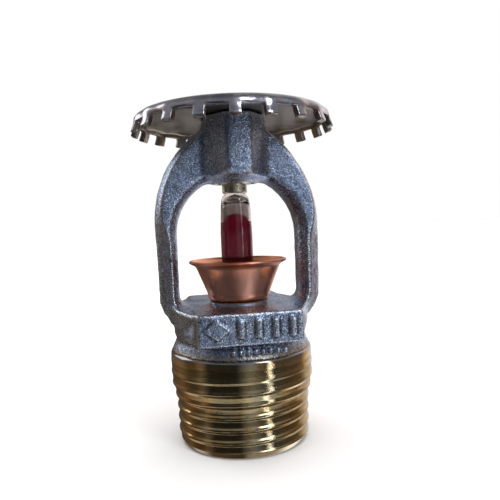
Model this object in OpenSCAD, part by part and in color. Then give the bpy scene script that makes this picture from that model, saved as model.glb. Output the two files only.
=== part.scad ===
// Upright fire sprinkler head with a glass bulb, standing on its inlet face.
// Millimetres. +Z runs up the axis and the origin is the centre of the inlet face.

/* [Inlet] */
// Thread diameter at the gauge plane
thread_d = 20.955; // [17.4:0.005:25.2]
// Distance between thread crests
thread_pitch = 1.814; // [1.5:0.001:2.2]
// Full crests on the thread
thread_crests = 6; // [5:1:8]
// Height of the gauge plane above the inlet face
gauge_h = 8.2; // [6.8:0.1:9.9]
// Diameter of the waterway at the inlet
waterway_d = 13.4; // [11.1:0.1:15.4]
// Diameter of the orifice under the seal
orifice_d = 8.4; // [7:0.1:10.1]

/* [Boss] */
// How far the plain brass band stands out past the thread
band_step = 0.6; // [0.3:0.05:1]
// Height of the plain brass band
band_h = 1.4; // [1:0.1:2.4]
// Height of the waist between the band and the wrench pads
waist_h = 2.2; // [1.6:0.1:3.4]
// Distance across the two wrench pads
pads_af = 22; // [20:0.1:26.4]
// Width of each wrench pad
pad_w = 15; // [12.4:0.1:18]
// Height of each wrench pad
pad_h = 4.5; // [3.7:0.1:5.4]
// How far the raised marks stand out of a pad
mark_rise = 0.3; // [0.15:0.05:0.5]

/* [Arms] */
// Clear width between the arms
window_w = 19.3; // [17.4:0.1:23.2]
// Width of an arm, seen from the front
arm_w = 3.25; // [2.7:0.05:3.9]
// Depth of an arm, front ridge to back ridge
arm_depth = 5.2; // [4.2:0.1:6.4]
// Lean of the arms above the shoulder, in degrees
arm_lean = 36; // [30:1:40]
// Depth of the web inside the shoulder
web_depth = 3.6; // [2.8:0.1:4.4]
// Radius of the fillet at the foot of an arm
foot_r = 1.6; // [0.8:0.1:2.2]

/* [Hub] */
// Height of the hub
hub_h = 10.3; // [8.6:0.1:12.4]
// Width of the hub across the arms
hub_w = 9.4; // [7.9:0.1:11.3]
// Depth of the hub, front rib to back rib
hub_depth = 13; // [10.8:0.1:15.6]
// Width of the hub's front and back ribs
hub_rib_w = 3.5; // [2.8:0.1:4.2]

/* [Deflector] */
// Diameter over the ends of the teeth
deflector_d = 30.9; // [25.8:0.1:37.1]
// Number of teeth
teeth = 20; // [14:2:24]
// Width of a tooth
tooth_w = 1.65; // [1.2:0.05:2.2]
// Length of a tooth below the rim
tooth_len = 1.4; // [0.9:0.05:2]
// Thickness of the deflector plate
plate_t = 0.9; // [0.7:0.05:1.1]
// Drop from the flat centre to the rim's lower edge
rim_drop = 1.1; // [0.8:0.05:1.6]
// Turn of the tooth pattern, in degrees
tooth_phase = 12; // [0:1:18]

/* [Load screw] */
// Thread diameter of the load screw
screw_d = 6; // [5:0.1:7.2]
// Thread pitch of the load screw
screw_pitch = 1; // [0.75:0.05:1.25]
// Length of the load screw
screw_len = 12; // [10:0.5:14]
// Diameter of the screw's plain tip
tip_d = 3.9; // [3.3:0.1:4.3]
// Length of the tip that shows below the hub
tip_show = 1.4; // [1:0.1:2]
// Hex key size, across flats
hex_af = 3; // [2.5:0.1:3.2]

/* [Glass bulb] */
// Diameter of the bulb
bulb_d = 5; // [4.2:0.1:6]
// Length of the bulb
bulb_len = 16; // [14:0.1:19.2]
// Wall of the bulb
glass_t = 0.45; // [0.35:0.05:0.6]

/* [Cup and seal] */
// Diameter of the cup's base
cup_base_d = 9.8; // [9.4:0.1:11.8]
// Diameter of the cup's lip
cup_lip_d = 15.4; // [13.4:0.1:16.8]
// Height of the cup
cup_h = 6.3; // [5.3:0.1:7.5]
// Wall of the cup
cup_t = 0.5; // [0.4:0.05:0.6]
// Diameter of the insert's stem
stem_d = 4; // [3.4:0.1:4.8]
// Thickness of the disc spring
spring_t = 0.3; // [0.2:0.05:0.4]
// Cone height of the disc spring when it is loaded
spring_cone = 0.12; // [0.05:0.01:0.3]
// Thickness of each sealing film
film_t = 0.1; // [0.05:0.01:0.15]

/* [Hidden] */
$fn = 96;
eps = 0.01;
// Clearances: running fit, free play, and faces of different bodies that meet
run_gap = 0.05;
free_gap = 0.3;
face_gap = 0.02;

// Inlet thread: a 1 in 16 taper on the diameter
taper = 1 / 32;
thread_depth = 0.64 * thread_pitch;
crest_flat = 0.14 * thread_pitch;
first_crest = 1.14 * thread_pitch;
thread_h = first_crest + thread_crests * thread_pitch;
lead_r = thread_r(0) - thread_depth;
band_r = thread_r(thread_h) + band_step;
waist_r = band_r - 1;

// Heights of the boss and its seat
band_top = thread_h + band_h;
pad_z = band_top + waist_h;
seat_z = pad_z + pad_h;
bore_end = 0.55 * seat_z;

// The seal, the cup and the insert, from the seat up
spring_r = max(orifice_d / 2, stem_d / 2 + free_gap) + 0.4;
seal_h = spring_t + spring_cone + 2 * film_t;
cup_z = seat_z + seal_h + face_gap;
cup_base_r = max(cup_base_d / 2, spring_r + 0.25);
cup_lip_r = max(cup_lip_d / 2, cup_base_r + 2);
cup_neck_r = cup_base_r + 0.55 * (cup_lip_r - cup_base_r);
insert_z = cup_z + cup_t;
insert_h = 1;
insert_r = cup_base_r - cup_t - face_gap;

// The bulb stands in the insert and the load screw bears on its top
bulb_r = bulb_d / 2;
pip_r = 0.36 * bulb_r;
pip_h = 0.6;
bulb_z = insert_z + insert_h - pip_h;
bulb_top = bulb_z + bulb_len;
bulb_cap_r = 0.4 * bulb_r;
bulb_cap_h = 0.21 * bulb_len;
socket_h = 0.6;
socket_sink = 0.3;
socket_r = cap_radius(socket_sink) + 0.06;
tip_z = bulb_top - socket_sink;
tip_r = max(tip_d / 2, socket_r + 0.15);

// The hub, its nose and the deflector's seat
hub_z = tip_z + tip_show;
plate_z = hub_z + hub_h;
hub_bore_r = screw_d / 2 + run_gap;
nose_r = hub_bore_r + 0.9;
nose_h = plate_t + 0.8;
hole_r = nose_r + run_gap;
hub_half = max(hub_w / 2, nose_r + 0.6);

// The arms
arm_in = window_w / 2;
arm_out = arm_in + arm_w;
arm_mid = (arm_in + arm_out) / 2;
bend_r = 0.97 * arm_mid;
bend_x = arm_mid - bend_r;
arm_top_x = 0.8 * hub_half;
bend_z = plate_z - (arm_out - bend_x) * sin(arm_lean)
    - (bend_x + (arm_out - bend_x) * cos(arm_lean) - hub_half) / tan(arm_lean);
arch_z = bend_z - 3;
arch_h = hub_z + 1 - arch_z;

// Radius of the inlet thread's crests at height z
function thread_r(z) = thread_d / 2 + (z - gauge_h) * taper;

// Radius of the bulb at a depth below its top
function cap_radius(depth) =
    bulb_cap_r + (0.92 * bulb_r - bulb_cap_r) * sqrt(1 - pow(1 - depth / bulb_cap_h, 2));

// Points of an ellipse quarter from angle a to angle b, centred at c
function arc(c, rx, ry, a, b, n) =
    [for (i = [0 : n]) let (t = a + (b - a) * i / n) [c[0] + rx * cos(t), c[1] + ry * sin(t)]];

// One crest of a ring thread whose centre is at height z
function crest(r, z, depth, pitch, flat) =
    [[r - depth, z - pitch / 2], [r, z - flat / 2], [r, z + flat / 2], [r - depth, z + pitch / 2]];

module frame() {
    color("slategray") difference() {
        union() {
            nipple();
            boss();
            foot_fillets();
            pads();
            upper_arms();
            hub();
        }
        waterway();
        translate([0, 0, hub_z - 2]) cylinder(r = hub_bore_r, h = hub_h + nose_h + 4);
    }
}

// The threaded inlet, its plain band and the waist above it
module nipple() {
    intersection() {
        rotate_extrude() polygon(concat(
            [[0, 0]],
            [for (k = [-1 : thread_crests - 1]) let (z = first_crest + k * thread_pitch)
                each crest(thread_r(z), max(z, thread_pitch / 2), thread_depth, thread_pitch, crest_flat)],
            [[band_r, thread_h], [band_r, band_top], [waist_r, band_top + 1],
             [waist_r, pad_z], [0, pad_z]]));
        cylinder(r1 = lead_r, r2 = lead_r + pad_z, h = pad_z);
    }
}

// The cast block between the waist and the seat, with the feet of the arms
module boss() {
    intersection() {
        union() {
            translate([0, 0, pad_z - 1]) linear_extrude(seat_z - pad_z + 1) boss_plan();
            for (side = [-1, 1]) on_side(side)
                translate([0, 0, pad_z - 1]) linear_extrude(bend_z - pad_z + 1) arm_section(0);
        }
        rotate_extrude() polygon([[0, pad_z - 1], [waist_r, pad_z - 1], [arm_out, seat_z - 0.6],
                                  [arm_out + 1, seat_z + 1], [arm_out + 1, bend_z + 1],
                                  [0, bend_z + 1]]);
    }
}

module boss_plan() {
    polygon([[pad_w / 2, pads_af / 2], [arm_out - 1.6, arm_depth / 2],
             [arm_out - 1.6, -arm_depth / 2], [pad_w / 2, -pads_af / 2],
             [-pad_w / 2, -pads_af / 2], [-arm_out + 1.6, -arm_depth / 2],
             [-arm_out + 1.6, arm_depth / 2], [-pad_w / 2, pads_af / 2]]);
}

// Fillets between the seat face and the inner faces of the arms
module foot_fillets() {
    for (side = [-1, 1]) on_side(side)
        translate([0, 1.1, 0]) rotate([90, 0, 0]) linear_extrude(2.2) polygon(concat(
            [[arm_in + 0.5, seat_z - 0.5]],
            arc([arm_in - foot_r, seat_z + foot_r], foot_r, foot_r, -90, 0, 8),
            [[arm_in + 0.5, seat_z + foot_r]]));
}

// The two wrench pads, each with its row of plain raised marks
module pads() {
    for (turn = [0, 180]) rotate([0, 0, turn]) {
        translate([-pad_w / 2, -pads_af / 2, pad_z]) cube([pad_w, pads_af / 2, pad_h]);
        mark_w = pad_w / 9;
        for (i = [0 : 3])
            translate([(2 * i - 3.5) * mark_w, -pads_af / 2 - mark_rise, pad_z + 0.25 * pad_h])
                cube([mark_w, mark_rise + 1, 0.5 * pad_h]);
    }
}

// The cross-section of an arm, with its radius measured from x0
module arm_section(x0) {
    polygon([[arm_in - x0, -1.1], [arm_in + 0.9 - x0, -arm_depth / 2],
             [arm_out - 1.7 - x0, -arm_depth / 2], [arm_out - x0, -0.7], [arm_out - x0, 0.7],
             [arm_out - 1.7 - x0, arm_depth / 2], [arm_in + 0.9 - x0, arm_depth / 2],
             [arm_in - x0, 1.1]]);
}

module on_side(side) {
    rotate([0, 0, side > 0 ? 0 : 180]) children();
}

// The shoulders and the leaning arms, which run into the hub below the deflector
module upper_arms() {
    for (side = [-1, 1]) on_side(side) {
        translate([bend_x, 0, bend_z]) {
            rotate([90, 0, 0]) rotate_extrude(angle = arm_lean) arm_section(bend_x);
            intersection() {
                rotate([0, -arm_lean, 0]) linear_extrude(lean_len()) arm_section(bend_x);
                translate([-arm_out, -arm_depth, 0])
                    cube([2 * arm_out, 2 * arm_depth, plate_z - bend_z]);
            }
        }
        translate([0, web_depth / 2, 0]) rotate([90, 0, 0]) linear_extrude(web_depth) web_outline();
    }
}

// Length of the leaning stretch, from the shoulder to inside the hub
function lean_len() = (bend_x + bend_r * cos(arm_lean) - arm_top_x) / sin(arm_lean);

// The web fills the shoulder between the arm and the arch of the window
module web_outline() {
    polygon(concat(
        arc([0, arch_z], arm_in, arch_h, 0, 80, 16),
        [[0.5, arch_z + arch_h], [0.5, plate_z], [hub_half, plate_z]],
        arc([bend_x, bend_z], bend_r, bend_r, arm_lean, 0, 8),
        [[arm_mid, arch_z]]));
}

// The hub column with its peened nose, narrowed towards the load screw
module hub() {
    rib = hub_rib_w / 2;
    deep = hub_depth / 2;
    shoulder = 0.46 * deep;
    intersection() {
        translate([0, 0, hub_z]) linear_extrude(hub_h) polygon([
            [rib, deep], [hub_half, shoulder], [hub_half, -shoulder], [rib, -deep],
            [-rib, -deep], [-hub_half, -shoulder], [-hub_half, shoulder], [-rib, deep]]);
        translate([0, 0, hub_z]) rotate_extrude() polygon([
            [0, 0], [hub_bore_r + 0.5, 0], [deep + 0.3, 0.35 * hub_h], [deep + 0.3, hub_h], [0, hub_h]]);
    }
    translate([0, 0, plate_z - 1]) rotate_extrude() polygon([
        [0, 0], [nose_r, 0], [nose_r, 1 + plate_t], [nose_r + 0.6, 1 + plate_t + 0.1],
        [nose_r + 0.4, 1 + nose_h], [0, 1 + nose_h]]);
}

// The waterway, from the inlet to the orifice in the seat
module waterway() {
    bore_r = waterway_d / 2;
    rotate_extrude() polygon([
        [0, -1], [bore_r + 0.5, -1], [bore_r + 0.5, 0], [bore_r, 0.5], [bore_r, bore_end],
        [orifice_d / 2, bore_end + 0.8 * (bore_r - orifice_d / 2)], [orifice_d / 2, seat_z + 1],
        [0, seat_z + 1]]);
}

module deflector() {
    rim_r = deflector_d / 2 - 0.4;
    rim_z = plate_z - rim_drop;
    color("lightsteelblue") {
        rotate_extrude() polygon([
            [hole_r, plate_z], [0.55 * rim_r, plate_z], [rim_r - 1.7, rim_z + 0.5],
            [rim_r - plate_t, rim_z], [rim_r, rim_z], [rim_r - 0.15, rim_z + 0.55],
            [rim_r - 1, rim_z + 1.15], [0.55 * rim_r, plate_z + plate_t], [hole_r, plate_z + plate_t]]);
        tooth_angle = tooth_w / rim_r * 180 / PI;
        for (i = [0 : teeth - 1]) rotate([0, 0, tooth_phase + i * 360 / teeth - tooth_angle / 2])
            rotate_extrude(angle = tooth_angle) polygon([
                [rim_r - plate_t, rim_z + eps], [rim_r - plate_t + 0.35, rim_z - tooth_len],
                [deflector_d / 2, rim_z - tooth_len], [rim_r, rim_z + eps]]);
    }
}

// A set screw with a plain tip, a hex socket above and a cone below for the bulb
module load_screw() {
    root_r = screw_d / 2 - 0.61 * screw_pitch;
    thread_z = tip_z + tip_show;
    turns = floor((screw_len - tip_show) / screw_pitch) - 1;
    color("khaki") difference() {
        union() {
            translate([0, 0, tip_z]) rotate_extrude() polygon([
                [0, 0], [tip_r - 0.15, 0], [tip_r, 0.15], [tip_r, tip_show + 0.5],
                [0, tip_show + 0.5]]);
            rotate_extrude() polygon(concat(
                [[0, thread_z], [root_r, thread_z]],
                [for (k = [0 : turns]) each crest(screw_d / 2, thread_z + (k + 0.5) * screw_pitch,
                    screw_d / 2 - root_r, screw_pitch, 0.2 * screw_pitch)],
                [[root_r, tip_z + screw_len], [0, tip_z + screw_len]]));
        }
        translate([0, 0, tip_z + 0.7 * screw_len])
            cylinder(d = hex_af / cos(30), h = screw_len, $fn = 6);
        translate([0, 0, tip_z - eps])
            cylinder(r1 = socket_r, r2 = bulb_cap_r, h = socket_h);
    }
}

// Outline of the bulb's outer face, from the pip to the flattened top
function bulb_outline() = concat(
    [[0, 0], [pip_r - 0.15, 0], [pip_r, 0.15], [pip_r, pip_h]],
    arc([pip_r, pip_h + 2.2], bulb_r - pip_r, 2.2, -75, 0, 6),
    [[bulb_r, 0.64 * bulb_len], [0.92 * bulb_r, bulb_len - bulb_cap_h]],
    arc([bulb_cap_r, bulb_len - bulb_cap_h], 0.92 * bulb_r - bulb_cap_r, bulb_cap_h, 15, 90, 8),
    [[0, bulb_len]]);

// Outline of the cavity, with a domed top
function cavity_outline() = concat(
    [[0, pip_h + 0.9]],
    arc([pip_r, pip_h + 2.6], bulb_r - glass_t - pip_r, 1.7, -90, 0, 6),
    [[bulb_r - glass_t, 0.64 * bulb_len]],
    arc([0, 0.68 * bulb_len], 0.97 * (bulb_r - glass_t), 0.1 * bulb_len, 0, 90, 8));

module bulb_glass() {
    color("mistyrose") translate([0, 0, bulb_z]) difference() {
        rotate_extrude() polygon(bulb_outline());
        rotate_extrude() polygon(cavity_outline());
    }
}

module bulb_liquid() {
    color("firebrick") translate([0, 0, bulb_z]) rotate_extrude() polygon(cavity_outline());
}

// The flared copper cup that carries the bulb over the orifice
module cup() {
    wall_z = 0.18 * cup_h;
    lip_z = 0.86 * cup_h;
    color("peru") translate([0, 0, cup_z]) rotate_extrude() polygon([
        [stem_d / 2, 0], [cup_base_r - 0.3, 0], [cup_base_r, 0.3], [cup_base_r, wall_z],
        [cup_neck_r, lip_z], [cup_lip_r, cup_h - 0.5], [cup_lip_r, cup_h - 0.1],
        [cup_lip_r - 0.3, cup_h], [cup_neck_r - cup_t, lip_z + 0.3],
        [cup_base_r - cup_t, wall_z + 0.1], [cup_base_r - cup_t, cup_t], [stem_d / 2, cup_t]]);
}

// The hard insert: a seat for the bulb's pip, and a stem down through the cup and the spring
module insert() {
    stem_h = cup_t + seal_h;
    color("gainsboro") translate([0, 0, insert_z]) difference() {
        union() {
            cylinder(r = insert_r, h = insert_h);
            translate([0, 0, -stem_h]) cylinder(r = stem_d / 2, h = stem_h + eps);
        }
        translate([0, 0, insert_h - pip_h - face_gap]) cylinder(r = pip_r + 0.05, h = insert_h);
    }
}

// A cone ring on the seat: lift is its height above the seat, t its thickness
module cone_ring(lift, t) {
    inner_r = stem_d / 2 + free_gap;
    translate([0, 0, seat_z + lift]) rotate_extrude() polygon([
        [inner_r, spring_cone], [spring_r, 0], [spring_r, t], [inner_r, spring_cone + t]]);
}

module seal_spring() {
    color("darkgray") cone_ring(film_t, spring_t);
}

module seal_film_top() {
    color("ivory") cone_ring(film_t + spring_t, film_t);
}

module seal_film_bottom() {
    color("ivory") cone_ring(0, film_t);
}

frame();
deflector();
load_screw();
bulb_glass();
bulb_liquid();
cup();
insert();
seal_spring();
seal_film_top();
seal_film_bottom();
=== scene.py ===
"""Looks of an upright glass-bulb sprinkler head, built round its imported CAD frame.

Shapes are worked out in millimetres and turned into metres when a mesh is made.
"""

import math

import bpy
import numpy as np
from mathutils import Matrix, Vector, noise


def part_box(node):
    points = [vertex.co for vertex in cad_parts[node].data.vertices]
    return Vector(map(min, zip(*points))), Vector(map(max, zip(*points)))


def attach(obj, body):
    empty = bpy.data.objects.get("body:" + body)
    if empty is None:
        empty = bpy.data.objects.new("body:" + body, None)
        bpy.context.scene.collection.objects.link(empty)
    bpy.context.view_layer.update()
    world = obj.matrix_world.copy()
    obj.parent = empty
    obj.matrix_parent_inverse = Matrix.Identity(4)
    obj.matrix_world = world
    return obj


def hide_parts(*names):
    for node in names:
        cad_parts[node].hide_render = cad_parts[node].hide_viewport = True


MM = 0.001

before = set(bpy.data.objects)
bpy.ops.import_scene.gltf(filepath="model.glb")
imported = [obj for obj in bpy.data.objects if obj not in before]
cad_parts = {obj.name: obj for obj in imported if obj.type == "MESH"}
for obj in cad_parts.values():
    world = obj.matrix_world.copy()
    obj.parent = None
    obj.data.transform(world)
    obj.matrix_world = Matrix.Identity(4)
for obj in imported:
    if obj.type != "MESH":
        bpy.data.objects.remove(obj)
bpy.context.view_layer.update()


# ---------------------------------------------------------------- sizes, in millimetres


def top_of(node):
    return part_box(node)[1].z / MM


def bottom_of(node):
    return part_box(node)[0].z / MM


def half_width(node):
    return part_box(node)[1].x / MM


SEAT_Z = bottom_of("seal_film_bottom")
PLATE_Z = bottom_of("deflector") + 2.5
TIP_Z = bottom_of("load_screw")
HUB_Z = TIP_Z + 1.4
NOSE_TOP = top_of("frame")
ARM_OUT = half_width("frame")
ARM_IN = ARM_OUT - 3.25
SCREW_BORE_R = half_width("load_screw") + 0.05
CUP_LIP_R = half_width("cup")
BULB_R = half_width("bulb_glass")
PLATE_R = half_width("deflector")

# Inlet: half-inch taper pipe thread
PITCH = 1.814
THREAD_R = 20.955 / 2
GAUGE_Z = 8.2
TAPER = 1 / 32
THREAD_DEPTH = 0.22
BAND_Z = 7.14 * PITCH
BAND_TOP = BAND_Z + 1.4
BAND_R = 11.1
BORE_R = 6.7
ORIFICE_R = 4.2
BORE_END = 0.55 * SEAT_Z

# Boss, arms and hub, where AF is across flats
WAIST_R = 10.1
PAD_Z = BAND_TOP + 2.2
PAD_W = 15
PADS_AF = 22
SHOULDER_R = 18
SHOULDER_TURN = 57
ARM_SHIFT = 0.35
HUB_HALF = 4.7
HUB_DEEP = 6.5
HUB_RIB = 1.75
NOSE_R = SCREW_BORE_R + 0.9

TEETH = 20
TOOTH_PHASE = math.radians(12)
TOOTH_W = 1.65

# Raised marks on each pad, and the step between them
BARS = 4
BAR_STEP = 2.45
BUMPS = 8
BUMP_STEP = 1.05

CELL = 0.19  # of the grid that the casting's surface is taken from
SMOOTH_R = 4.4  # nearer the axis than this the casting has no lumps
THREAD_RINGS = 210


# ---------------------------------------------------------------- studio and camera values


# Walls by azimuth from the camera in degrees, positive to its right: brightness and warmth
WALLS = [
    (-180, 0.35, 0.3), (-165, 0.1, 0.5), (-140, 0.16, 0.8), (-122, 0.26, 1), (-110, 0.28, 1),
    (-92, 0.13, 1), (-78, 0.13, 0.8), (-68, 0.24, 0.5), (-60, 0.14, 0.4), (-54, 0.04, 0),
    (-6, 0.03, 0), (4, 0.2, 0), (14, 0.34, 0), (24, 0.24, 0), (34, 0.14, 0), (44, 0.1, 0),
    (45, 7.5, 0), (46.2, 7.5, 0), (47, 0.1, 0), (66, 0.12, 0.2), (90, 0.15, 0.8), (112, 0.25, 1),
    (126, 0.9, 0.6), (148, 1.0, 0.3), (165, 0.75, 0.1), (180, 0.35, 0.3),
]
# From the nadir at 0 to the zenith at 1: what the walls' brightness is multiplied by
SKY = [
    (0.0, 0.5), (0.06, 0.6), (0.12, 1.4), (0.19, 1.4), (0.27, 0.7), (0.35, 0.7), (0.39, 1.25),
    (0.46, 1.15), (0.56, 1.1), (0.64, 1.3), (0.75, 0.9), (0.88, 0.4), (1.0, 0.3),
]
# From the nadir at 0 to the zenith at 1: light added all round
GLOW = [
    (0.0, 0), (0.08, 0), (0.12, 0.45), (0.17, 0.45), (0.22, 0), (0.66, 0), (0.74, 0.25),
    (0.84, 0.25), (1.0, 0.1),
]

CAMERA_YAW = math.radians(9.4)
CAMERA_PITCH = math.radians(2.9)
CAMERA_ROLL = math.radians(-2.33)
CAMERA_AT = Vector((2.02, -82.7, 33.5))  # millimetres, before the yaw
CAMERA_FOCUS = 1.048  # focal length over the picture's width
AIM_Z = 0.028  # metres, about the middle of the object
FLOOR_HALF = 3.0  # metres


# ---------------------------------------------------------------- meshes


def make_mesh(name, verts, faces, smooth=True):
    """A mesh object from points in millimetres."""
    mesh = bpy.data.meshes.new(name)
    mesh.from_pydata((np.asarray(verts, dtype=float) * MM).tolist(), [], faces)
    mesh.validate()
    mesh.update()
    if smooth:
        mesh.shade_smooth()
    obj = bpy.data.objects.new(name, mesh)
    bpy.context.scene.collection.objects.link(obj)
    return obj


def ring_faces(rings, columns, closed=False):
    """Quads between rings of points that each go once round the axis."""
    faces = []
    last = rings if closed else rings - 1
    for i in range(last):
        a = i * columns
        b = (i + 1) % rings * columns
        for j in range(columns):
            k = (j + 1) % columns
            faces.append((a + j, a + k, b + k, b + j))
    return faces


def lathe(name, outline, columns=128):
    """A closed solid of revolution from a closed outline of (radius, height) points."""
    angles = np.linspace(0, 2 * math.pi, columns, endpoint=False)
    outline = np.asarray(outline, dtype=float)
    verts = [
        np.stack([r * np.cos(angles), r * np.sin(angles), np.full(columns, z)], 1)
        for r, z in outline
    ]
    return make_mesh(name, np.concatenate(verts), ring_faces(len(outline), columns, True))


def arc(centre, rx, ry, start, end, steps):
    """Points of an ellipse from one angle to another, in degrees."""
    angles = np.radians(np.linspace(start, end, steps + 1))
    return [(centre[0] + rx * math.cos(t), centre[1] + ry * math.sin(t)) for t in angles]


def rounded(points, radius, steps=4):
    """The closed outline with each corner cut to a smooth curve about radius long."""
    made = []
    points = [Vector(p) for p in points]
    for i, here in enumerate(points):
        before = points[i - 1] - here
        after = points[(i + 1) % len(points)] - here
        reach = min(radius, 0.45 * before.length, 0.45 * after.length)
        start = here + before.normalized() * reach
        end = here + after.normalized() * reach
        for t in np.linspace(0, 1, steps + 1):
            point = start * (1 - t) ** 2 + here * 2 * t * (1 - t) + end * t**2
            made.append((point.x, point.y))
    return made


# ---------------------------------------------------------------- distance fields


def polygon_distance(x, y, points):
    """Signed distance to a closed polygon, negative inside."""
    best = np.full(np.broadcast(x, y).shape, 1e9, dtype=np.float32)
    inside = np.zeros(best.shape, dtype=bool)
    for (ax, ay), (bx, by) in zip(points, points[1:] + points[:1]):
        ex, ey = bx - ax, by - ay
        t = np.clip(((x - ax) * ex + (y - ay) * ey) / (ex * ex + ey * ey), 0, 1)
        best = np.minimum(best, (x - ax - t * ex) ** 2 + (y - ay - t * ey) ** 2)
        if ey != 0:
            crosses = (y >= min(ay, by)) & (y < max(ay, by))
            inside ^= crosses & (x < ax + (y - ay) * ex / ey)
    return np.where(inside, -np.sqrt(best), np.sqrt(best)).astype(np.float32)


def join(a, b, k):
    """Union of two fields with a fillet about k wide."""
    h = np.clip(k - np.abs(a - b), 0, None) / k
    return np.minimum(a, b) - h * h * k / 4


def cut(a, b, k):
    """Intersection of two fields with an edge rounded over k."""
    return -join(-a, -b, k)


def box_distance(x, y, z, centre, half, radius):
    """Signed distance to a box with rounded edges."""
    far = [np.abs(v - c) - (h - radius) for v, c, h in zip((x, y, z), centre, half)]
    outside = np.sqrt(sum(np.clip(f, 0, None) ** 2 for f in far))
    return outside + np.minimum(np.maximum(np.maximum(far[0], far[1]), far[2]), 0) - radius


def smooth_step(value, start, end):
    """A smooth rise from 0 at start to 1 at end."""
    t = np.clip((value - start) / (end - start), 0, 1)
    return t * t * (3 - 2 * t)


def surface_nets(field, origin, cell):
    """A quad mesh of the field's zero surface, as points and faces."""
    inside = field < 0
    count = np.zeros([n - 1 for n in field.shape], dtype=np.int32)
    total = np.zeros(list(count.shape) + [3], dtype=np.float32)
    corners = [(i, j, k) for i in (0, 1) for j in (0, 1) for k in (0, 1)]

    def corner(values, c):
        return values[tuple(slice(o, o + n) for o, n in zip(c, count.shape))]

    for a in corners:
        for axis in range(3):
            if a[axis]:
                continue
            b = tuple(1 if i == axis else v for i, v in enumerate(a))
            fa, fb = corner(field, a), corner(field, b)
            crossed = (fa < 0) != (fb < 0)
            t = np.where(crossed, fa / np.where(crossed, fa - fb, 1), 0)
            count += crossed
            for i in range(3):
                total[..., i] += np.where(crossed, a[i] + (t if i == axis else 0), 0)

    active = count > 0
    number = np.full(count.shape, -1, dtype=np.int64)
    number[active] = np.arange(active.sum())
    points = total[active] / count[active][:, None] + np.argwhere(active)
    faces = []
    for axis in range(3):
        u, v = (axis + 1) % 3, (axis + 2) % 3
        low = [slice(1, -1)] * 3
        low[axis] = slice(0, -1)
        high = list(low)
        high[axis] = slice(1, None)
        a, b = inside[tuple(low)], inside[tuple(high)]
        at = np.argwhere(a != b)
        at[:, u] += 1
        at[:, v] += 1
        leaving = a[a != b]
        quad = []
        for du, dv in ((1, 1), (0, 1), (0, 0), (1, 0)):
            place = at.copy()
            place[:, u] -= du
            place[:, v] -= dv
            quad.append(number[tuple(place.T)])
        quad = np.stack(quad, 1)
        quad[~leaving] = quad[~leaving][:, ::-1]
        faces.append(quad)
    return points * cell + origin, np.concatenate(faces)


# ---------------------------------------------------------------- the casting


def arm_outline():
    """The casting's outer outline in the plane of the arms, without its hub."""
    shoulder_z = PLATE_Z - 1.5 - SHOULDER_R * math.sin(math.radians(SHOULDER_TURN))
    centre = (ARM_OUT - SHOULDER_R, shoulder_z)
    right = [(ARM_OUT - 1.9, PAD_Z + 2.2), (ARM_OUT - 0.8, SEAT_Z - 0.9)]
    right += [(ARM_OUT - 0.2, SEAT_Z + 0.8)]
    right += arc(centre, SHOULDER_R, SHOULDER_R, 0, SHOULDER_TURN, 24)
    right += [(2, PLATE_Z - 1)]
    return right + [(-x, z) for x, z in reversed(right)]


def window_outline():
    """The opening between the arms: an arch on two straight sides with filleted feet."""
    spring = SEAT_Z + 10.95
    crown = HUB_Z + 1.35
    side = ARM_IN - 0.2
    foot = 1.8
    right = arc((side - foot, SEAT_Z + foot), foot, foot, -90, 0, 6)
    right += arc((0, spring), side, crown - spring, 0, 88, 24)
    return right + [(-x, z) for x, z in reversed(right)]


def marks_field(x, y, z, front):
    """Plain raised marks on a wrench pad: a lozenge and four bars, and a row of low bumps."""
    face = front * PADS_AF / 2
    mid = PAD_Z + 2.4
    u = x * -front
    lozenge = (np.abs(u + 4.8) * 0.8 + np.abs(z - mid) - 1.45) / 1.28
    marks = np.maximum(lozenge, np.abs(y - face) - 0.42)
    for i in range(BARS):
        place = (-1.4 + BAR_STEP * i, face, mid)
        marks = np.minimum(marks, box_distance(u, y, z, place, (0.5, 0.5, 1.35), 0.3))
    for i in range(BUMPS):
        place = (-2.6 + BUMP_STEP * i, front * (BAND_R - 0.55), BAND_TOP + 1.25)
        marks = np.minimum(marks, box_distance(u, y, z, place, (0.28, 0.5, 0.4), 0.2))
    return marks


def boss_field(x, y, z, radius):
    """The block below the seat, with its waist, its flared collar and its two pads."""
    neck = polygon_distance(radius, z, [
        (0, BAND_TOP), (BAND_R - 0.22, BAND_TOP), (BAND_R - 0.45, BAND_TOP + 0.4),
        (WAIST_R + 0.15, BAND_TOP + 1.3), (WAIST_R, PAD_Z - 0.4), (WAIST_R + 0.4, PAD_Z + 1),
        (ARM_OUT - 0.5, SEAT_Z - 0.7), (ARM_OUT - 0.2, SEAT_Z), (0, SEAT_Z)])
    side = ARM_OUT - 2.5
    plan = polygon_distance(x, y, [
        (PAD_W / 2, PADS_AF / 2), (side, 2.6), (side, -2.6), (PAD_W / 2, -PADS_AF / 2),
        (-PAD_W / 2, -PADS_AF / 2), (-side, -2.6), (-side, 2.6), (-PAD_W / 2, PADS_AF / 2)])
    lower = np.maximum(radius - BAND_R, z - PAD_Z - 1)
    block = cut(neck, np.minimum(plan, lower), 0.5)
    pads = box_distance(x, np.abs(y), z, (0, PADS_AF / 2 - 3, (PAD_Z + SEAT_Z) / 2),
                        (PAD_W / 2, 3, (SEAT_Z - PAD_Z) / 2), 0.25)
    return join(block, pads, 0.7)


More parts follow.
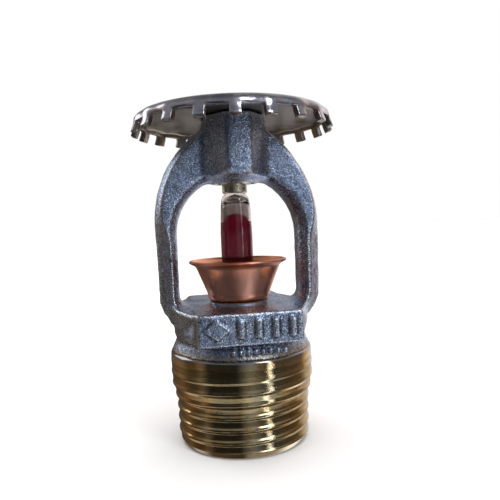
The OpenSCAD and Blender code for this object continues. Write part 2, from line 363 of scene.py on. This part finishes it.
def arms_field(x, y, z):
    """The arms: a diamond section that follows the outline and flattens to webs above."""
    plane_z = z[0, 0, :][None, :]
    lean = np.clip(1.3 - np.abs(plane_z - SEAT_Z - 6) / 12, 0, 1) * ARM_SHIFT
    depth_out = -polygon_distance(x[:, 0, :] - lean, plane_z, arm_outline())[:, None, :]
    depth_in = polygon_distance(x[:, 0, :] - lean / 3, plane_z, window_outline())[:, None, :]
    across = np.abs(y)
    slope = 1 + 1.7 * smooth_step(plane_z, SEAT_Z + 9, SEAT_Z + 17)[:, None, :]
    outer_face = (across - 0.75 - slope * depth_out) / np.sqrt(1 + slope**2)
    inner_face = (across - 1.5 - 1.25 * depth_in) / 1.6
    faces = cut(cut(outer_face, inner_face, 0.25), across - 2.9, 0.4)
    return cut(faces, np.maximum(-depth_out, -depth_in), 0.5)


def hub_field(x, y, z, radius):
    """The hub column, its ribs to front and back, and its peened nose."""
    shoulder = 0.46 * HUB_DEEP
    plan = polygon_distance(x, y, rounded([
        (HUB_RIB, HUB_DEEP), (HUB_HALF, shoulder), (HUB_HALF, -shoulder), (HUB_RIB, -HUB_DEEP),
        (-HUB_RIB, -HUB_DEEP), (-HUB_HALF, -shoulder), (-HUB_HALF, shoulder),
        (-HUB_RIB, HUB_DEEP)], 0.6))
    side = polygon_distance(radius, z, rounded([
        (-9, HUB_Z), (SCREW_BORE_R + 0.2, HUB_Z), (SCREW_BORE_R + 1.0, HUB_Z + 0.5),
        (HUB_DEEP - 0.4, HUB_Z + 1.0), (HUB_DEEP + 0.5, HUB_Z + 1.8),
        (HUB_DEEP + 0.5, PLATE_Z), (-9, PLATE_Z)], 0.5))
    nose_h = NOSE_TOP - PLATE_Z
    nose = polygon_distance(radius, z, [
        (-1, PLATE_Z - 1), (NOSE_R, PLATE_Z - 1), (NOSE_R, PLATE_Z + nose_h - 0.7),
        (NOSE_R + 0.6, PLATE_Z + nose_h - 0.6), (NOSE_R + 0.25, NOSE_TOP), (-1, NOSE_TOP)])
    return cut(plan, side, 0.7), nose


def casting():
    """The plated rough casting, as one mesh with its ridges and hollows marked for painted
    highlights and painted shade.
    """
    low = np.array([-ARM_OUT - 0.6, -PADS_AF / 2 - 0.8, BAND_TOP - 0.5])
    high = np.array([ARM_OUT + 0.6, PADS_AF / 2 + 0.8, NOSE_TOP + 0.5])
    x, y, z = [np.arange(a, b, CELL, dtype=np.float32) for a, b in zip(low, high)]
    x, y, z = x[:, None, None], y[None, :, None], z[None, None, :]
    radius = np.sqrt(x * x + y * y)
    radius, z_all = np.broadcast_arrays(radius, z)
    hub, nose = hub_field(x, y, z_all, radius)
    field = join(boss_field(x, y, z_all, radius), arms_field(x, y, z), 1.2)
    field = np.minimum(join(field, hub, 1.0), nose)
    for front in (-1, 1):
        field = join(field, marks_field(x, y, z, front), 0.3)
    waterway = polygon_distance(radius, z_all, [
        (-9, 0), (BORE_R, 0), (BORE_R, BORE_END), (ORIFICE_R, BORE_END + 2),
        (ORIFICE_R, SEAT_Z + 1), (-9, SEAT_Z + 1)])
    screw_bore = np.maximum(radius - SCREW_BORE_R, HUB_Z - 2 - z_all)
    field = np.maximum(field, -np.minimum(waterway, screw_bore))
    points, faces = surface_nets(field, low, CELL)
    obj = make_mesh("casting", points, faces.tolist())
    roughen(obj, height=0.05, scale=0.9)
    mark_ridges(obj)
    return obj


def roughen(obj, height, scale):
    """Low lumps of a sand casting, kept off the bores and the collar's lower edge."""
    mesh = obj.data
    normals = [v.normal.copy() for v in mesh.vertices]
    for vertex, normal in zip(mesh.vertices, normals):
        at = vertex.co / MM
        near_axis = math.hypot(at.x, at.y) < SMOOTH_R
        if near_axis or at.z < BAND_TOP + 0.2:
            continue
        lump = noise.noise(at * scale) + 0.5 * noise.noise(at * 2.3 * scale)
        vertex.co += normal * (lump * height * MM)


def mark_ridges(obj):
    """A point attribute that is high on outer edges and low in hollows, used for the casting's
    painted highlights and painted shade.
    """
    mesh = obj.data
    count = len(mesh.vertices)
    co = np.empty(count * 3)
    mesh.vertices.foreach_get("co", co)
    co = co.reshape(-1, 3)
    normal = np.empty(count * 3)
    mesh.vertex_normals.foreach_get("vector", normal)
    normal = normal.reshape(-1, 3)
    ends = np.empty(len(mesh.edges) * 2, dtype=np.int64)
    mesh.edges.foreach_get("vertices", ends)
    a, b = ends.reshape(-1, 2).T
    along = co[b] - co[a]
    bend = (along * (normal[b] - normal[a])).sum(1) / (along**2).sum(1).clip(1e-12)
    value = bend * MM
    for _ in range(3):
        total = np.zeros(count)
        weight = np.zeros(count)
        for end, other in ((a, b), (b, a)):
            np.add.at(total, end, value)
            np.add.at(weight, end, 1)
        point = total / weight.clip(1)
        value = (point[a] + point[b]) / 2
    ridge = mesh.attributes.new("ridge", "FLOAT", "POINT")
    ridge.data.foreach_set("value", np.clip(0.5 + 0.5 * point, 0, 1).astype(np.float32))


# ---------------------------------------------------------------- the turned inlet


def thread_radius(theta, z):
    """Outer radius of the right-hand taper thread at an angle and a height.

    The thread runs out towards the band: its crests widen to the blank and its
    roots grow shallow.
    """
    run_out = smooth_step(z, 6.2, 10.4)
    crest = THREAD_R + (z - GAUGE_Z) * TAPER
    crest = crest + (BAND_R + 0.03 - crest) * run_out
    depth = THREAD_DEPTH * (1 - 0.75 * smooth_step(z, 7.5, BAND_Z))
    turn = (z - 1.38 * PITCH) / PITCH - (theta + math.pi / 2) / (2 * math.pi)
    away = np.abs(turn - np.round(turn)) * 2
    radius = crest - depth * smooth_step(away, 0.06, 0.6)
    radius = radius + (BAND_R - radius) * smooth_step(z, BAND_Z - 0.35, BAND_Z)
    lead_in = THREAD_R - 1.0 + 0.75 * z
    return np.minimum(radius, lead_in)


def inlet():
    """The bare brass inlet: helical thread, chamfered end, plain band and a straight bore."""
    columns = 256
    theta = np.linspace(0, 2 * math.pi, columns, endpoint=False)
    rings = [(BORE_R, BAND_TOP), (BORE_R, BORE_END), (BORE_R, 0.6), (BORE_R + 0.4, 0.08),
             (BORE_R + 0.5, 0), (THREAD_R - 1.15, 0)]
    heights = np.linspace(0.02, BAND_Z, THREAD_RINGS)
    rings += [(None, z) for z in heights]
    rings += [(BAND_R, BAND_Z + 0.1), (BAND_R - 0.05, BAND_TOP - 0.4), (BAND_R - 0.2, BAND_TOP)]
    verts = []
    for radius, z in rings:
        r = thread_radius(theta, z) if radius is None else np.full(columns, radius)
        verts.append(np.stack([r * np.cos(theta), r * np.sin(theta), np.full(columns, z)], 1))
    return make_mesh("inlet_thread", np.concatenate(verts), ring_faces(len(rings), columns, True))


# ---------------------------------------------------------------- the deflector


def tooth_columns():
    """Angles round the deflector, and whether a tooth spans from each to the next."""
    half_tooth = TOOTH_W / 2 / PLATE_R
    step = 2 * math.pi / TEETH
    gap = step - 2 * half_tooth
    angles, is_tooth = [], []
    for i in range(TEETH):
        middle = TOOTH_PHASE + i * step
        angles += [middle + half_tooth * t for t in (-1, 0, 1)]
        angles += [middle + half_tooth + gap * t for t in (0.25, 0.5, 0.75)]
        is_tooth += [True, True, False, False, False, False]
    return angles, is_tooth


def tooth_faces(first_ring, rows, is_tooth):
    """Quads of the teeth, in rows that start at the plate's last full ring."""
    columns = len(is_tooth)
    faces = []
    for ring in range(first_ring, first_ring + rows):
        a = ring * columns
        for j in range(columns):
            if is_tooth[j]:
                k = (j + 1) % columns
                faces.append((a + j, a + k, a + columns + k, a + columns + j))
    return faces


def deflector():
    """The pressed deflector: a dished plate whose rim is cut into bent teeth."""
    thick = 0.9
    rim_r = PLATE_R - 0.95
    rim_z = PLATE_Z - 1.1
    profile = [(NOSE_R + 0.05, PLATE_Z + 0.45), (0.55 * PLATE_R, PLATE_Z + 0.45)]
    profile += [(rim_r - 2.6, PLATE_Z + 0.32), (rim_r - 1.2, PLATE_Z + 0.14)]
    profile += arc((rim_r - 0.9, PLATE_Z - 0.75), 0.85, 0.85, 75, 5, 4)
    profile += [(rim_r, rim_z)]
    tooth = [(rim_r + 0.15, rim_z - 0.5), (rim_r + 0.36, rim_z - 1.0), (rim_r + 0.52, rim_z - 1.45)]
    angles, is_tooth = tooth_columns()
    columns = len(angles)
    proud = 0.22
    in_tooth = [a or b for a, b in zip(is_tooth, is_tooth[-1:] + is_tooth[:-1])]
    verts = []
    for i, (r, z) in enumerate(profile + tooth):
        push = proud * min(max(i - 4, 0), 3) / 3
        reach = [r + push * held for held in in_tooth]
        verts += [(far * math.cos(t), far * math.sin(t), z) for far, t in zip(reach, angles)]
    faces = ring_faces(len(profile), columns)
    faces += tooth_faces(len(profile) - 1, len(tooth), is_tooth)
    obj = make_mesh("deflector_plate", verts, faces)
    solid = obj.modifiers.new("thickness", "SOLIDIFY")
    solid.thickness = thick * MM
    solid.offset = 0
    solid.material_offset = 1
    bevel = obj.modifiers.new("edges", "BEVEL")
    bevel.width = 0.13 * MM
    bevel.segments = 2
    bevel.angle_limit = math.radians(50)
    return obj


# ---------------------------------------------------------------- the bulb and the cup


def bulb_outline(height):
    """The bulb's outer face as (radius, height above its foot)."""
    pip = 0.36 * BULB_R
    points = [(0.001, 0), (pip - 0.15, 0), (pip, 0.15), (pip, 0.6)]
    points += arc((pip, 2.8), BULB_R - pip, 2.2, -75, 0, 10)
    points += [(BULB_R, 0.4 * height), (BULB_R, 0.6 * height)]
    dome = [(0.98, 5.5), (0.955, 4.0), (0.925, 2.6), (0.89, 1.6), (0.83, 1.0), (0.74, 0.6)]
    dome += [(0.6, 0.3), (0.44, 0.12), (0.22, 0.02)]
    points += [(r * BULB_R, height - drop) for r, drop in dome]
    return points + [(0.001, height)]


def bulb():
    """The glass bulb and the liquid inside it."""
    base = bottom_of("bulb_glass")
    height = top_of("bulb_glass") - base
    outer = bulb_outline(height)
    wall = 0.38
    room = BULB_R - wall
    foot = [(0.001, 1.5)] + arc((0.9, 3.2), room - 0.9, 1.7, -85, 0, 8) + [(room, 0.6 * height)]
    cavity = foot + arc((0, height - 2.7), 0.95 * room, 1.75, 0, 89.9, 16)
    glass = lathe("bulb_shell", [(r, base + z) for r, z in outer + cavity[::-1]])
    swell = 1.004
    filling = foot + arc((0, 0.69 * height), 0.985 * room, 0.095 * height, 0, 89.9, 16)
    liquid = lathe("bulb_filling", [(r * swell, base + z) for r, z in filling])
    return glass, liquid


def cup():
    """The flared copper cup, pressed from sheet, with a rolled lip."""
    base = bottom_of("cup")
    height = top_of("cup") - base
    wall = 0.5
    base_r = 4.9
    neck_r = base_r + 0.62 * (CUP_LIP_R - base_r)
    lip_z = 0.86 * height
    outer = [(2, 0), (base_r - 0.8, 0), (base_r - 0.25, 0.2), (base_r, 0.65), (base_r + 0.02, 1.05)]
    outer += [(base_r + 0.1, 1.3), (neck_r - 0.12, lip_z - 0.35), (neck_r + 0.12, lip_z + 0.02)]
    outer += [(CUP_LIP_R - 0.35, height - 0.56), (CUP_LIP_R - 0.05, height - 0.38)]
    outer += [(CUP_LIP_R, height - 0.2), (CUP_LIP_R - 0.15, height - 0.03)]
    outer += [(CUP_LIP_R - 0.4, height)]
    inner = [(neck_r + 0.35, lip_z + 0.55), (neck_r - 0.4, lip_z + 0.15)]
    inner += [(neck_r - wall - 0.15, lip_z - 0.3), (base_r - wall, 1.2)]
    inner += [(base_r - wall, wall), (2, wall)]
    outline = [(r, base + z) for r, z in outer + inner]
    obj = lathe("copper_cup", rounded(outline, 0.3, 3))
    for vertex in obj.data.vertices:
        at = vertex.co / MM
        dent = noise.noise(Vector((at.x, at.y, 0.3 * at.z)) * 0.35)
        vertex.co.x *= 1 + 0.006 * dent
        vertex.co.y *= 1 + 0.006 * dent
    return obj


# ---------------------------------------------------------------- materials


def colour_sockets(sockets):
    return [socket for socket in sockets if socket.type == "RGBA"]


class Nodes:
    """A small helper that adds nodes to a material and links them."""

    def __init__(self, name):
        self.material = bpy.data.materials.new(name)
        self.material.use_nodes = True
        self.tree = self.material.node_tree
        self.shader = self.tree.nodes["Principled BSDF"]

    def add(self, kind, **settings):
        made = self.tree.nodes.new(kind)
        for key, value in settings.items():
            if key in made.inputs:
                made.inputs[key].default_value = value
            else:
                setattr(made, key, value)
        return made

    def link(self, source, target):
        self.tree.links.new(source, target)

    def place(self, stretch=(1, 1, 1)):
        """Object coordinates in millimetres, stretched along an axis."""
        where = self.add("ShaderNodeTexCoord")
        scale = self.add("ShaderNodeMapping")
        scale.inputs["Scale"].default_value = [s / MM for s in stretch]
        self.link(where.outputs["Object"], scale.inputs["Vector"])
        return scale.outputs["Vector"]

    def noise(self, scale, detail=3.0, stretch=(1, 1, 1), roughness=0.55):
        made = self.add("ShaderNodeTexNoise", Scale=scale, Detail=detail, Roughness=roughness)
        self.link(self.place(stretch), made.inputs["Vector"])
        return made.outputs["Fac"]

    def height(self):
        """Height above the inlet face in millimetres."""
        split = self.add("ShaderNodeSeparateXYZ")
        self.link(self.place(), split.inputs["Vector"])
        return split.outputs["Z"]

    def ramp(self, factor, *stops):
        made = self.add("ShaderNodeValToRGB")
        band = made.color_ramp
        while len(band.elements) < len(stops):
            band.elements.new(0.5)
        for element, (place, colour) in zip(band.elements, stops):
            element.position = place
            element.color = (*colour, 1)
        self.link(factor, made.inputs["Fac"])
        return made.outputs["Color"]

    def spread(self, factor, low, high, start=0.3, end=0.7):
        made = self.add("ShaderNodeMapRange")
        made.inputs["From Min"].default_value = start
        made.inputs["From Max"].default_value = end
        made.inputs["To Min"].default_value = low
        made.inputs["To Max"].default_value = high
        self.link(factor, made.inputs["Value"])
        return made.outputs["Result"]

    def math(self, operation, a, b):
        made = self.add("ShaderNodeMath", operation=operation)
        for socket, value in zip(made.inputs, (a, b)):
            if isinstance(value, (int, float)):
                socket.default_value = value
            else:
                self.link(value, socket)
        return made.outputs["Value"]

    def mix(self, factor, base, colour):
        """The base, turned into a plain colour as the factor goes from 0 to 1."""
        made = self.add("ShaderNodeMix", data_type="RGBA")
        first, second = colour_sockets(made.inputs)
        self.link(factor, made.inputs[0])
        self.link(base, first)
        second.default_value = (*colour, 1)
        return colour_sockets(made.outputs)[0]

    def attribute(self, name):
        return self.add("ShaderNodeAttribute", attribute_name=name).outputs["Fac"]

    def bump(self, *layers):
        """Bump from pairs of a height and its depth in millimetres."""
        normal = None
        for height, depth in layers:
            made = self.add("ShaderNodeBump", Strength=1.0, Distance=depth * MM)
            self.link(height, made.inputs["Height"])
            if normal:
                self.link(normal, made.inputs["Normal"])
            normal = made.outputs["Normal"]
        self.link(normal, self.shader.inputs["Normal"])

    def set(self, **sockets):
        for key, value in sockets.items():
            socket = self.shader.inputs[key.replace("_", " ")]
            if isinstance(value, (int, float)):
                socket.default_value = value
            elif isinstance(value, tuple):
                socket.default_value = (*value, 1)
            else:
                self.link(value, socket)
        return self.material


def plated_casting():
    n = Nodes("plated_casting")
    grain = n.noise(2.2, 4.0, roughness=0.65)
    fine = n.noise(5.5, 2.0)
    cloud = n.noise(0.22, 2.0)
    base = n.ramp(
        cloud, (0.3, (0.22, 0.3, 0.47)), (0.55, (0.33, 0.43, 0.65)), (0.75, (0.34, 0.41, 0.54)))
    # Painted highlight: outer edges are lightened towards a pale blue-grey.
    ridge = n.spread(n.attribute("ridge"), 0.0, 0.75, 0.66, 0.92)
    # Painted shade: hollows are darkened towards near black.
    painted_hollow_shade = n.spread(n.attribute("ridge"), 0.75, 0.0, 0.1, 0.45)
    base = n.mix(ridge, base, (0.72, 0.79, 0.92))
    base = n.mix(painted_hollow_shade, base, (0.085, 0.09, 0.12))
    # Painted glints: bright flecks of fine noise stand in for light sparkling on the grain.
    painted_glint = n.spread(fine, 0.0, 0.85, 0.54, 0.66)
    base = n.mix(painted_glint, base, (0.76, 0.87, 1.0))
    shade = n.spread(fine, 0.7, 0.0, 0.34, 0.47)
    base = n.mix(shade, base, (0.05, 0.06, 0.1))
    edge = n.math("ADD", n.height(), n.math("MULTIPLY", grain, 1.2))
    bare = n.spread(edge, 0.85, 0.0, BAND_TOP + 0.7, BAND_TOP + 1.7)
    base = n.mix(bare, base, (0.27, 0.22, 0.13))
    n.bump((grain, 0.07), (fine, 0.055))
    return n.set(Base_Color=base, Metallic=1.0, Roughness=n.spread(grain, 0.34, 0.2))


def turned_brass():
    """Bare brass, stained brown, with the casting's plating fading out at its top."""
    n = Nodes("turned_brass")
    lines = n.noise(1.0, 3.0, stretch=(0.4, 0.4, 16))
    stain = n.noise(0.3, 4.0)
    nicks = n.noise(1.7, 2.0)
    base = n.ramp(
        stain, (0.3, (0.48, 0.31, 0.13)), (0.5, (0.5, 0.4, 0.22)), (0.72, (0.44, 0.41, 0.28)))
    tarnish = n.spread(nicks, 0.0, 0.5, 0.56, 0.78)
    base = n.mix(tarnish, base, (0.16, 0.1, 0.04))
    base = n.mix(n.spread(lines, 0.0, 0.45, 0.5, 0.62), base, (0.12, 0.08, 0.03))
    edge = n.math("ADD", n.height(), n.math("MULTIPLY", stain, 1.6))
    plated = n.spread(edge, 0.0, 0.8, BAND_TOP - 0.1, BAND_TOP + 0.7)
    base = n.mix(plated, base, (0.24, 0.27, 0.34))
    n.bump((lines, 0.008), (nicks, 0.003))
    return n.set(Base_Color=base, Metallic=1.0, Roughness=n.spread(stain, 0.06, 0.12))


def bright_chrome():
    n = Nodes("bright_chrome")
    smear = n.noise(0.5, 3.0)
    ripple = n.noise(0.22, 1.0)
    base = n.ramp(smear, (0.3, (0.34, 0.35, 0.43)), (0.7, (0.5, 0.51, 0.58)))
    n.bump((ripple, 0.2), (n.noise(1.1, 2.0), 0.03))
    return n.set(Base_Color=base, Metallic=1.0, Roughness=n.spread(smear, 0.12, 0.24))


def dull_shaded_underside():
    n = Nodes("dull_shaded_underside")
    smear = n.noise(0.3, 4.0)
    # Painted shade: the underside is a darker, browner copy of the chrome; its higher roughness is
    # a duller finish of its own.
    base = n.ramp(smear, (0.3, (0.22, 0.205, 0.19)), (0.7, (0.36, 0.34, 0.32)))
    n.bump((n.noise(5.0, 3.0), 0.02),)
    return n.set(Base_Color=base, Metallic=1.0, Roughness=n.spread(smear, 0.26, 0.38))


def pressed_copper():
    n = Nodes("pressed_copper")
    drawn = n.noise(1.0, 2.0, stretch=(1.2, 1.2, 0.25))
    tint = n.noise(0.3, 3.0)
    base = n.ramp(tint, (0.3, (0.85, 0.3, 0.15)), (0.7, (1.0, 0.45, 0.27)))
    n.bump((drawn, 0.004), (n.noise(6.0, 2.0), 0.002))
    return n.set(Base_Color=base, Metallic=1.0, Roughness=n.spread(drawn, 0.27, 0.34))


def nickel_screw():
    n = Nodes("nickel_screw")
    lines = n.noise(1.0, 2.0, stretch=(0.6, 0.6, 16))
    tint = n.noise(0.8, 2.0)
    base = n.ramp(tint, (0.3, (0.5, 0.44, 0.3)), (0.7, (0.68, 0.63, 0.5)))
    n.bump((lines, 0.03),)
    return n.set(Base_Color=base, Metallic=1.0, Roughness=n.spread(tint, 0.2, 0.34))


def turned_steel():
    n = Nodes("turned_steel")
    lines = n.noise(1.0, 2.0, stretch=(4, 4, 8))
    tint = n.noise(0.9, 2.0)
    base = n.ramp(tint, (0.3, (0.4, 0.4, 0.42)), (0.7, (0.58, 0.58, 0.6)))
    n.bump((lines, 0.02),)
    return n.set(Base_Color=base, Metallic=1.0, Roughness=n.spread(tint, 0.25, 0.4))


def sealing_film():
    n = Nodes("sealing_film")
    cloud = n.noise(1.2, 3.0)
    base = n.ramp(cloud, (0.3, (0.2, 0.13, 0.08)), (0.7, (0.3, 0.2, 0.13)))
    n.bump((n.noise(5.0, 2.0), 0.01),)
    return n.set(Base_Color=base, Roughness=n.spread(cloud, 0.4, 0.55))


def clear_glass():
    n = Nodes("clear_glass")
    wave = n.noise(0.5, 2.0)
    n.bump((wave, 0.02),)
    n.set(Base_Color=(0.52, 0.47, 0.46), Roughness=n.spread(wave, 0.0, 0.03))
    n.shader.inputs["Transmission Weight"].default_value = 1.0
    n.shader.inputs["Specular IOR Level"].default_value = 0.3
    n.shader.inputs["IOR"].default_value = 1.5
    return n.material


def red_liquid():
    n = Nodes("red_liquid")
    cloud = n.noise(0.3, 2.0)
    base = n.ramp(cloud, (0.3, (0.32, 0.0, 0.03)), (0.7, (0.42, 0.0, 0.05)))
    n.set(Base_Color=base, Roughness=n.spread(cloud, 0.02, 0.08))
    n.shader.inputs["Transmission Weight"].default_value = 0.6
    n.shader.inputs["Specular IOR Level"].default_value = 0.2
    n.shader.inputs["IOR"].default_value = 1.37
    return n.material


def pale_floor():
    n = Nodes("pale_floor")
    base = n.ramp(n.noise(0.01, 1.0), (0.3, (0.86, 0.86, 0.86)), (0.7, (0.88, 0.88, 0.88)))
    return n.set(Base_Color=base, Roughness=0.7)


def finish_with(obj, *materials):
    """Give an object these materials and no others."""
    obj.data.materials.clear()
    for material in materials:
        obj.data.materials.append(material)
    return obj


# ---------------------------------------------------------------- stage


def area_light(name, place, size, power):
    """A soft rectangle of light aimed at the middle of the object."""
    data = bpy.data.lights.new(name, "AREA")
    data.shape = "RECTANGLE"
    data.size, data.size_y = size
    data.energy = power
    obj = bpy.data.objects.new(name, data)
    obj.location = place
    aim = Vector((0, 0, AIM_Z)) - Vector(place)
    obj.rotation_euler = aim.to_track_quat("-Z", "Y").to_euler()
    bpy.context.scene.collection.objects.link(obj)


def around(azimuth, distance, height):
    """A place round the object: azimuth 0 is the camera's side, positive to its right."""
    turn = math.radians(azimuth) - CAMERA_YAW
    return (distance * math.sin(turn), -distance * math.cos(turn), height)


def stage():
    """A pale floor that is left out of reflections."""
    corners = [(-1, -1, 0), (1, -1, 0), (1, 1, 0), (-1, 1, 0)]
    floor = make_mesh("floor", np.array(corners) * FLOOR_HALF / MM, [(0, 1, 2, 3)], smooth=False)
    finish_with(floor, pale_floor())
    floor.visible_glossy = False


def world_node(tree, kind, **settings):
    made = tree.nodes.new(kind)
    for key, value in settings.items():
        setattr(made, key, value)
    return made


def world_ramp(tree, stops):
    """A colour ramp from stops of a place, a level and a warmth."""
    made = world_node(tree, "ShaderNodeValToRGB")
    band = made.color_ramp
    while len(band.elements) < len(stops):
        band.elements.new(0.5)
    for element, (place, level, warmth) in zip(band.elements, stops):
        green = level * (1 - 0.32 * warmth)
        blue = level * (1.02 - 0.6 * warmth)
        element.position = place
        element.color = (level, green, blue, 1)
    return made


def world_blend(tree, mode, a, b):
    """Two colours put together in full by a blend mode."""
    made = world_node(tree, "ShaderNodeMix", data_type="RGBA", blend_type=mode)
    made.inputs[0].default_value = 1
    for source, target in zip((a, b), colour_sockets(made.inputs)):
        tree.links.new(source, target)
    return colour_sockets(made.outputs)[0]


def studio_world():
    """A soft studio for the reflections, and a plain white one for the eye.

    The walls change round the object: dark from the camera to its left, dim and warm at
    the sides, with a narrow bright window on the right and a broad one behind on the right.
    """
    world = bpy.data.worlds.new("studio")
    bpy.context.scene.world = world
    world.use_nodes = True
    tree = world.node_tree
    tree.nodes.clear()

    where = world_node(tree, "ShaderNodeTexCoord")
    split = world_node(tree, "ShaderNodeSeparateXYZ")
    flip = world_node(tree, "ShaderNodeMath", operation="MULTIPLY")
    angle = world_node(tree, "ShaderNodeMath", operation="ARCTAN2")
    turn = world_node(tree, "ShaderNodeMapRange")
    height = world_node(tree, "ShaderNodeMapRange")
    walls = world_ramp(tree, [(0.5 + az / 360, level, warmth) for az, level, warmth in WALLS])
    shade = world_ramp(tree, [(place, level, 0) for place, level in SKY])
    glow = world_ramp(tree, [(place, level, 0) for place, level in GLOW])
    lit = world_node(tree, "ShaderNodeBackground")
    plain = world_node(tree, "ShaderNodeBackground")
    path = world_node(tree, "ShaderNodeLightPath")
    mix = world_node(tree, "ShaderNodeMixShader")
    out = world_node(tree, "ShaderNodeOutputWorld")

    flip.inputs[1].default_value = -1
    turn.inputs["From Min"].default_value = -math.pi - CAMERA_YAW
    turn.inputs["From Max"].default_value = math.pi - CAMERA_YAW
    height.inputs["From Min"].default_value = -1
    lit.inputs["Strength"].default_value = 1.0
    plain.inputs["Color"].default_value = (1, 1, 1, 1)

    link = tree.links.new
    link(where.outputs["Generated"], split.inputs["Vector"])
    link(split.outputs["Y"], flip.inputs[0])
    link(split.outputs["X"], angle.inputs[0])
    link(flip.outputs["Value"], angle.inputs[1])
    link(angle.outputs["Value"], turn.inputs["Value"])
    link(split.outputs["Z"], height.inputs["Value"])
    link(turn.outputs["Result"], walls.inputs["Fac"])
    link(height.outputs["Result"], shade.inputs["Fac"])
    link(height.outputs["Result"], glow.inputs["Fac"])
    sides = world_blend(tree, "MULTIPLY", walls.outputs["Color"], shade.outputs["Color"])
    filled = world_blend(tree, "ADD", sides, glow.outputs["Color"])
    link(filled, lit.inputs["Color"])
    link(path.outputs["Is Camera Ray"], mix.inputs["Fac"])
    link(lit.outputs["Background"], mix.inputs[1])
    link(plain.outputs["Background"], mix.inputs[2])
    link(mix.outputs["Shader"], out.inputs["Surface"])


def camera():
    """The photograph's view: close to the object, level with its middle, slightly rolled."""
    data = bpy.data.cameras.new("camera")
    data.sensor_width = 36
    data.lens = CAMERA_FOCUS * data.sensor_width
    data.clip_start = 0.005
    data.clip_end = 20
    obj = bpy.data.objects.new("camera", data)
    bpy.context.scene.collection.objects.link(obj)
    upright = Matrix.Rotation(math.pi / 2 - CAMERA_PITCH, 4, "X")
    rolled = upright @ Matrix.Rotation(CAMERA_ROLL, 4, "Z")
    placed = Matrix.Translation(CAMERA_AT * MM) @ rolled
    obj.matrix_world = Matrix.Rotation(-CAMERA_YAW, 4, "Z") @ placed
    bpy.context.scene.camera = obj


def lights():
    """Two soft lamps, and an overhead sun that is left out of reflections."""
    area_light("key", around(40, 0.5, 0.4), (0.2, 0.2), 0.8)
    area_light("rim", around(-120, 0.5, 0.25), (0.3, 0.3), 0.5)
    overhead = bpy.data.lights.new("overhead", "SUN")
    overhead.energy = 3.2
    overhead.angle = math.radians(60)
    obj = bpy.data.objects.new("overhead", overhead)
    obj.visible_glossy = False
    bpy.context.scene.collection.objects.link(obj)


# ---------------------------------------------------------------- assembly


def dress_kept_nodes():
    """Better materials for the CAD nodes whose shape is kept."""
    steel = turned_steel()
    film = sealing_film()
    kept = {
        "load_screw": nickel_screw(),
        "insert": steel,
        "seal_spring": steel,
        "seal_film_top": film,
        "seal_film_bottom": film,
    }
    for node, material in kept.items():
        finish_with(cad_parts[node], material)


def add_piece(obj, body, node, slot, *materials):
    """Dress a shape and let it stand for a CAD node on its body."""
    finish_with(obj, *materials)
    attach(obj, body)
    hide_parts(node)


def main():
    add_piece(casting(), "head", "frame", "frame_casting", plated_casting())
    add_piece(inlet(), "head", "frame", "frame_casting", turned_brass())
    add_piece(
        deflector(), "head", "deflector", "deflector_plate", dull_shaded_underside(), bright_chrome())
    glass, liquid = bulb()
    add_piece(glass, "stack", "bulb_glass", "bulb_glass", clear_glass())
    add_piece(liquid, "stack", "bulb_liquid", "bulb_liquid", red_liquid())
    add_piece(cup(), "stack", "cup", "cup_copper", pressed_copper())
    dress_kept_nodes()
    bpy.context.scene.view_settings.view_transform = "Standard"
    studio_world()
    lights()
    stage()
    camera()


main()
